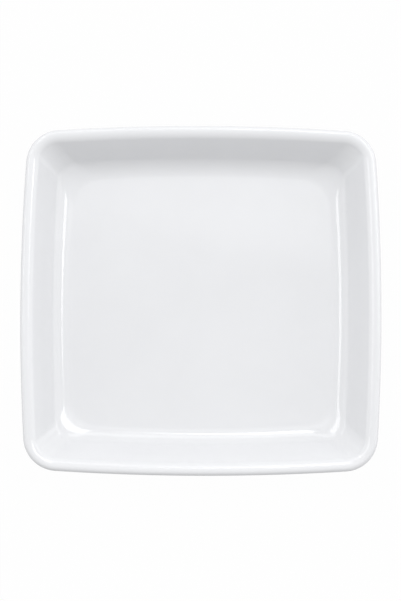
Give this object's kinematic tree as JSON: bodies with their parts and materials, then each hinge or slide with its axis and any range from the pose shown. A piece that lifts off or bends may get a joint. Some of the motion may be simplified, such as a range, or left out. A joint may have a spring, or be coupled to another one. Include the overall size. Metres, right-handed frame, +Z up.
{
  "type": "square dinner plate",
  "caption": "Square glazed plate with gently bowed sides, rounded corners, a rounded rim, sloping walls and a flat well, standing on a bare foot ring.",
  "frame": {"origin": "middle of the plate on the surface that its foot ring stands on", "axes": "+X across the plate along its longer side, +Y towards its back, +Z up out of the well"},
  "size_m": [0.26, 0.2524, 0.0331],
  "materials": {
    "bare_clay": "unglazed, fired and polished by wear",
    "white_glaze": "gloss"
  },
  "bodies": {
    "root": {"clay_body": "bare_clay", "glaze_coat": "white_glaze", "base_glaze": "white_glaze"}
  },
  "joints": []
}
